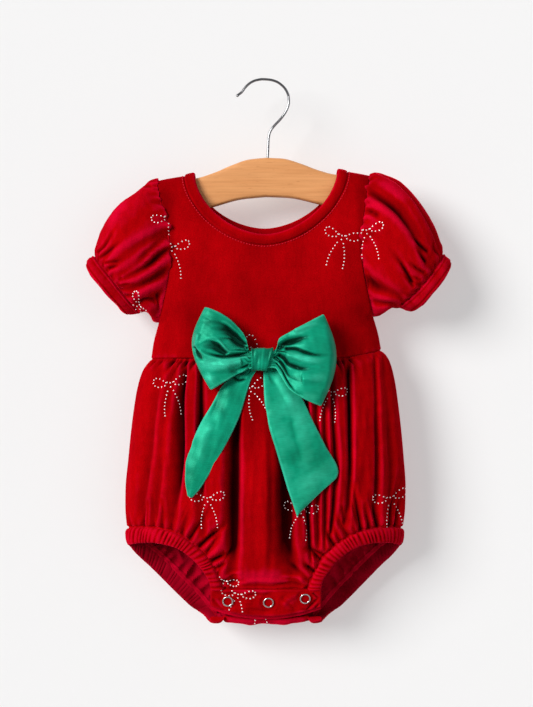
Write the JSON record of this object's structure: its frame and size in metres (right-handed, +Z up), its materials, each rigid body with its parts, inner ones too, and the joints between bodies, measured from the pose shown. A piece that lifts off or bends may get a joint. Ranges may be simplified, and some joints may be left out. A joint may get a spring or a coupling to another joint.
{
  "type": "baby romper on clothes hanger",
  "caption": "Short baby romper with a scoop neck, puff sleeves, a gathered bubble seat, leg elastic, crotch snaps and a satin bow, on a wooden hanger with a wire hook.",
  "frame": {"origin": "the inner top of the hook, where a rail carries the hanger", "axes": "+Z up, the front of the garment faces -Y, +X to the right seen from the front"},
  "size_m": [0.3199, 0.0803, 0.4806],
  "materials": {
    "velvet": "stretch velvet with a soft nap and scattered small studs",
    "satin": "green satin with a broad soft shine",
    "wood": "pale beech, clear varnish",
    "metal": "bright plated steel"
  },
  "bodies": {
    "root": {"bodice_front": "velvet", "bodice_back": "velvet", "neck_band": "velvet", "sleeve_left": "velvet", "sleeve_right": "velvet", "cuff_left": "velvet", "cuff_right": "velvet", "panel_front": "velvet", "panel_back": "velvet", "leg_casing_left": "velvet", "leg_casing_right": "velvet", "placket_front": "velvet", "placket_back": "velvet", "bow_loop_left": "satin", "bow_loop_right": "satin", "bow_knot": "satin", "bow_tail_left": "satin", "bow_tail_right": "satin", "hanger_wood": "wood", "hanger_hook": "metal", "snap_ring_1": "metal", "snap_core_1": "metal", "snap_back_1": "metal", "snap_ring_2": "metal", "snap_core_2": "metal", "snap_back_2": "metal", "snap_ring_3": "metal", "snap_core_3": "metal", "snap_back_3": "metal"}
  },
  "joints": []
}
